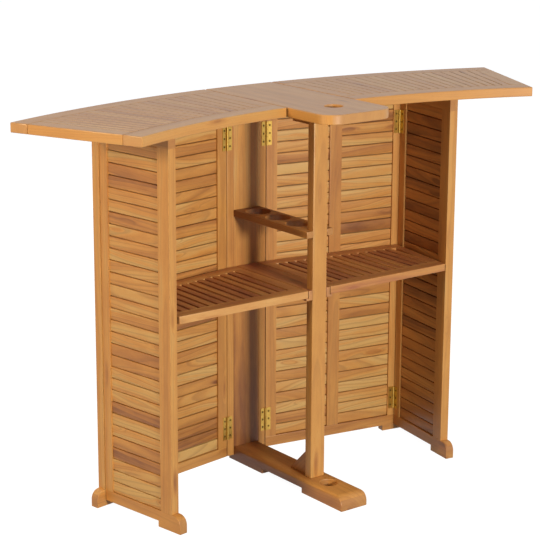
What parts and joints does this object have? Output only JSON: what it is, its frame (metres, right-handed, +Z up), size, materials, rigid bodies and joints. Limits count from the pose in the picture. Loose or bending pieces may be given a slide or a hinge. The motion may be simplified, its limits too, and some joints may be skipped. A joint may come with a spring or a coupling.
{
  "type": "folding bar table",
  "caption": "Folding wooden bar table: curved slatted top in two hinged leaves over slatted folding panels, with loose shelves, bottle rack and parasol hole.",
  "frame": {"origin": "on the floor, under the middle of the overall box", "axes": "+X to the right along the top, +Y towards the guests, +Z up; the nose and post are on the -Y side"},
  "size_m": [1.55, 0.5249, 1.05],
  "materials": {
    "teak_top": "oiled teak, flat-sanded, seen under open sky",
    "teak_frame": "oiled teak, planed with eased edges",
    "teak_slats": "oiled teak slats, varied from pale straw to red-brown",
    "teak_shelf": "oiled teak, darker heartwood",
    "brass": "drawn brass, satin"
  },
  "bodies": {
    "root": {"foot_beam": "teak_frame", "front_post": "teak_frame", "post_gusset": "teak_frame", "back_board": "teak_frame", "hinge_stile_left": "teak_frame", "hinge_stile_right": "teak_frame", "bottle_rack": "teak_frame", "shelf_plank": "teak_shelf", "top_centre_board": "teak_top", "top_bearer": "teak_frame", "rear_hinge_fixed": "brass", "top_hinge_fixed": "brass", "hinge_pins": "brass"},
    "top_leaf_left": {"top_outer_rail_left": "teak_top", "top_inner_rail_left": "teak_top", "top_end_rails_left": "teak_top", "top_slats_left": "teak_top", "top_hinge_moving_left": "brass"},
    "top_leaf_right": {"top_outer_rail_right": "teak_top", "top_inner_rail_right": "teak_top", "top_end_rails_right": "teak_top", "top_slats_right": "teak_top", "top_hinge_moving_right": "brass"},
    "shelf_leaf_left": {"shelf_rails_left": "teak_shelf", "shelf_slats_left": "teak_shelf"},
    "shelf_leaf_right": {"shelf_rails_right": "teak_shelf", "shelf_slats_right": "teak_shelf"},
    "rear_panel_left": {"rear_stiles_left": "teak_frame", "rear_rails_left": "teak_frame", "rear_slats_left": "teak_slats", "rear_foot_left": "teak_frame", "rear_cleat_left": "teak_shelf", "rear_hinge_moving_left": "brass", "side_hinge_fixed_left": "brass", "side_hinge_pins_left": "brass"},
    "rear_panel_right": {"rear_stiles_right": "teak_frame", "rear_rails_right": "teak_frame", "rear_slats_right": "teak_slats", "rear_foot_right": "teak_frame", "rear_cleat_right": "teak_shelf", "rear_hinge_moving_right": "brass", "side_hinge_fixed_right": "brass", "side_hinge_pins_right": "brass"},
    "side_panel_left": {"side_stiles_left": "teak_frame", "side_rails_left": "teak_frame", "side_slats_left": "teak_slats", "side_foot_left": "teak_frame", "side_cleat_left": "teak_shelf", "side_hinge_moving_left": "brass"},
    "side_panel_right": {"side_stiles_right": "teak_frame", "side_rails_right": "teak_frame", "side_slats_right": "teak_slats", "side_foot_right": "teak_frame", "side_cleat_right": "teak_shelf", "side_hinge_moving_right": "brass"}
  },
  "joints": [
    {"name": "top_leaf_left_lift", "type": "hinge", "parent": "root", "child": "top_leaf_left", "pos_m": [-0.11, 0.0478, 1.0216], "axis": [0, 1, 0], "range_deg": [0, 5]},
    {"name": "shelf_leaf_left_lift", "type": "slide", "parent": "root", "child": "shelf_leaf_left", "axis": [0, 0, 1], "range_m": [0, 0.13]},
    {"name": "rear_panel_left_swing", "type": "hinge", "parent": "root", "child": "rear_panel_left", "pos_m": [-0.066, 0.2194, 0.5], "axis": [0, 0, -1], "range_deg": [0, 9]},
    {"name": "side_panel_left_swing", "type": "hinge", "parent": "rear_panel_left", "child": "side_panel_left", "pos_m": [-0.48297, 0.15187, 0.5], "axis": [0, 0, 1], "range_deg": [0, 1]},
    {"name": "top_leaf_right_lift", "type": "hinge", "parent": "root", "child": "top_leaf_right", "pos_m": [0.11, 0.0478, 1.0216], "axis": [0, -1, 0], "range_deg": [0, 5]},
    {"name": "shelf_leaf_right_lift", "type": "slide", "parent": "root", "child": "shelf_leaf_right", "axis": [0, 0, 1], "range_m": [0, 0.13]},
    {"name": "rear_panel_right_swing", "type": "hinge", "parent": "root", "child": "rear_panel_right", "pos_m": [0.066, 0.2194, 0.5], "axis": [0, 0, 1], "range_deg": [0, 9]},
    {"name": "side_panel_right_swing", "type": "hinge", "parent": "rear_panel_right", "child": "side_panel_right", "pos_m": [0.48297, 0.15187, 0.5], "axis": [0, 0, -1], "range_deg": [0, 1]}
  ]
}
